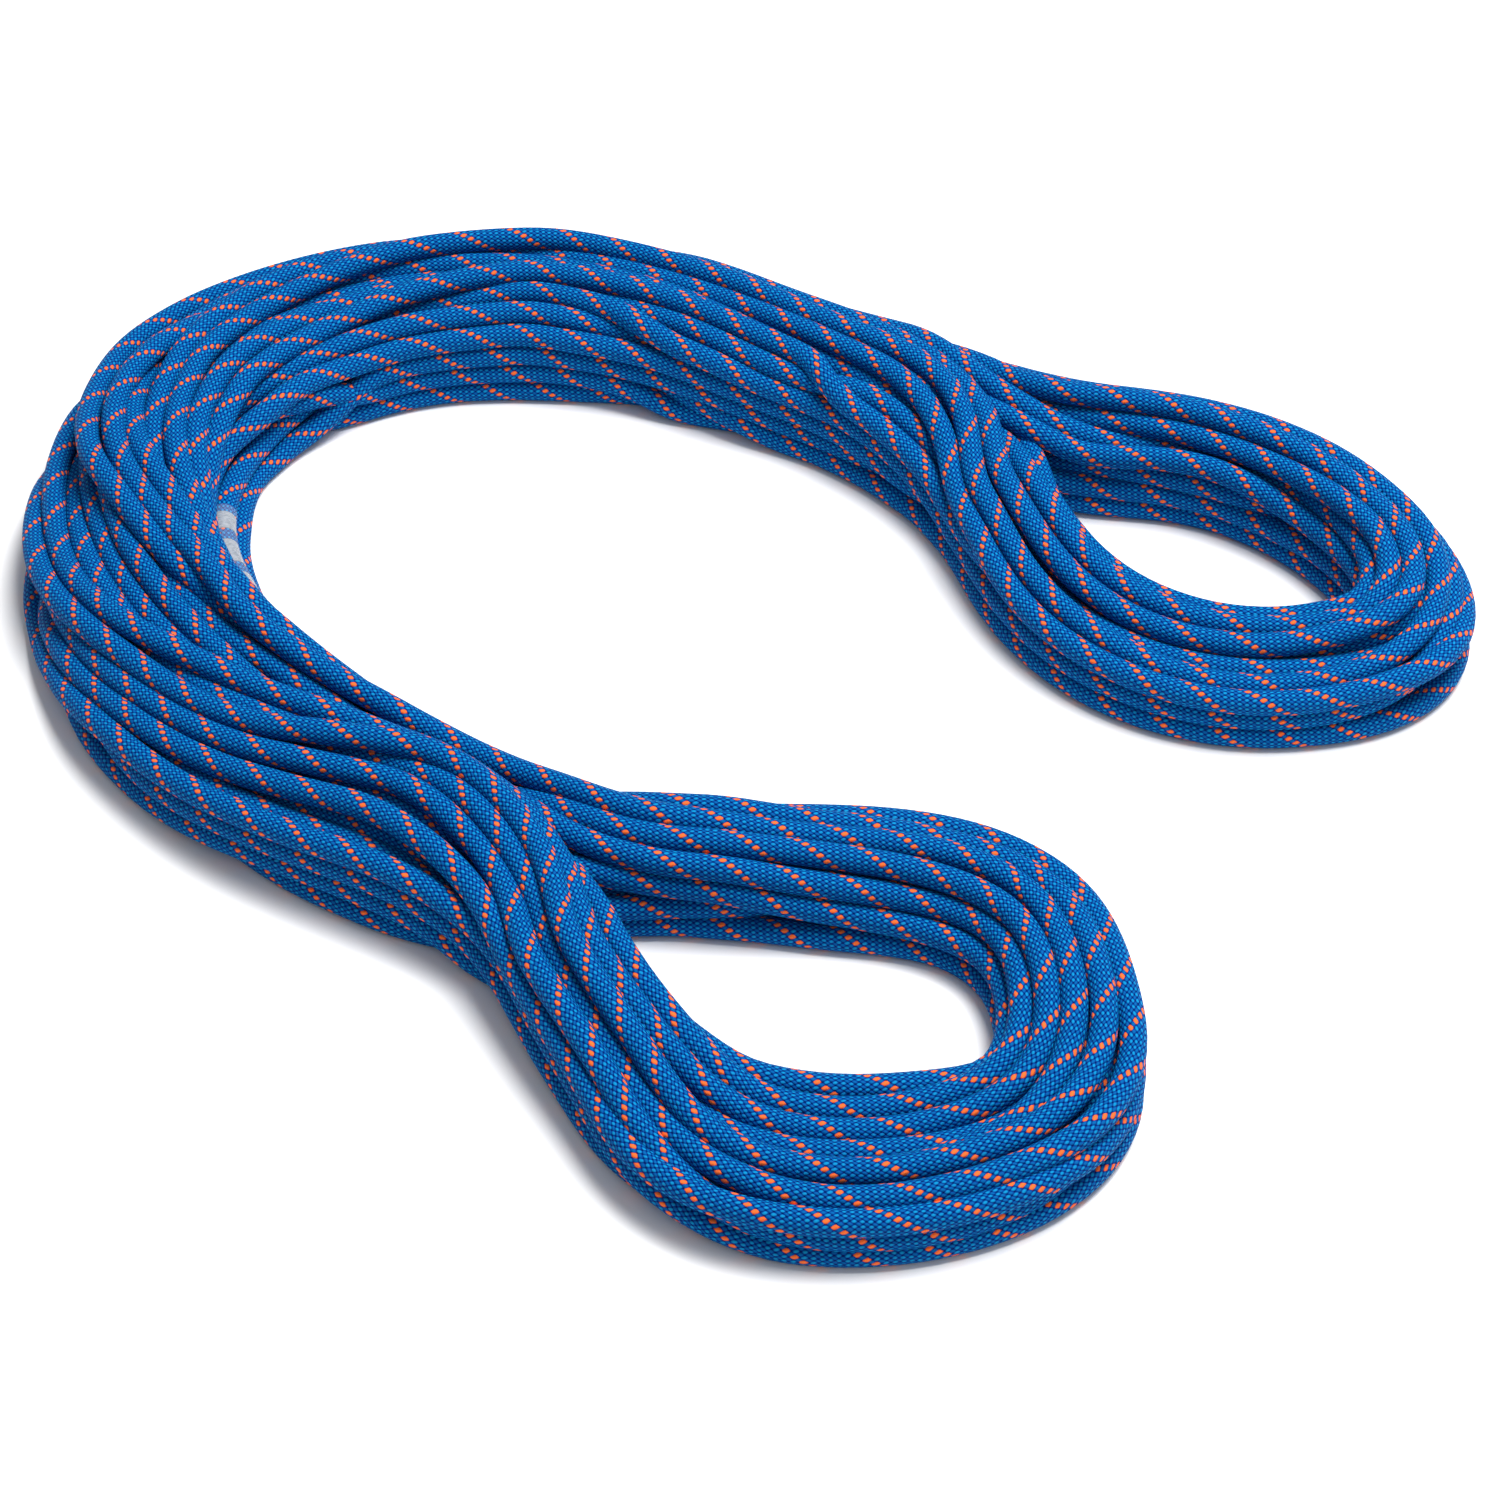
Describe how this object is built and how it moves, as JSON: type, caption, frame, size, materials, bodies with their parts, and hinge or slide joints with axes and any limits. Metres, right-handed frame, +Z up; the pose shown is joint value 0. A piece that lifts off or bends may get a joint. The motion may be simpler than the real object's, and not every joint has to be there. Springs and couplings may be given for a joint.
{
  "type": "dynamic climbing rope",
  "caption": "Dynamic climbing rope with a braided sheath over a stranded core, lying as a loose hank that is bent round and has an open loop at each end.",
  "frame": {"origin": "Middle of the footprint, on the surface that the rope lies on.", "axes": "+Z is up. The open side of the C faces +X, with one end loop at +Y and the other at -Y. The hank is lowest along Z."},
  "size_m": [0.4776, 0.4679, 0.043],
  "materials": {
    "rope_sheath": "tightly braided polyamide sheath, blue with a fine orange tracer",
    "core_yarn": "white twisted polyamide core strands",
    "marker_tape": "thin plastic marker strip",
    "label_film": "light grey printed film, no lettering",
    "shrink_sleeve": "clear shrink sleeve",
    "fused_tip": "melted and rounded rope end"
  },
  "bodies": {
    "root": {"hank": "rope_sheath", "labelled_end_sheath": "rope_sheath", "labelled_end_core_strand_01": "core_yarn", "labelled_end_core_strand_02": "core_yarn", "labelled_end_core_strand_03": "core_yarn", "labelled_end_core_strand_04": "core_yarn", "labelled_end_core_strand_05": "core_yarn", "labelled_end_core_strand_06": "core_yarn", "labelled_end_core_strand_07": "core_yarn", "labelled_end_core_strand_08": "core_yarn", "labelled_end_core_strand_09": "core_yarn", "labelled_end_core_strand_10": "core_yarn", "labelled_end_core_strand_11": "core_yarn", "labelled_end_core_strand_12": "core_yarn", "labelled_end_marker_tape": "marker_tape", "labelled_end_printed_labels": "label_film", "labelled_end_clear_sleeve": "shrink_sleeve", "labelled_end_fused_tip": "fused_tip", "plain_end_sheath": "rope_sheath", "plain_end_core_strand_01": "core_yarn", "plain_end_core_strand_02": "core_yarn", "plain_end_core_strand_03": "core_yarn", "plain_end_core_strand_04": "core_yarn", "plain_end_core_strand_05": "core_yarn", "plain_end_core_strand_06": "core_yarn", "plain_end_core_strand_07": "core_yarn", "plain_end_core_strand_08": "core_yarn", "plain_end_core_strand_09": "core_yarn", "plain_end_core_strand_10": "core_yarn", "plain_end_core_strand_11": "core_yarn", "plain_end_core_strand_12": "core_yarn", "plain_end_marker_tape": "marker_tape", "plain_end_printed_labels": "label_film", "plain_end_clear_sleeve": "shrink_sleeve", "plain_end_fused_tip": "fused_tip"}
  },
  "joints": []
}
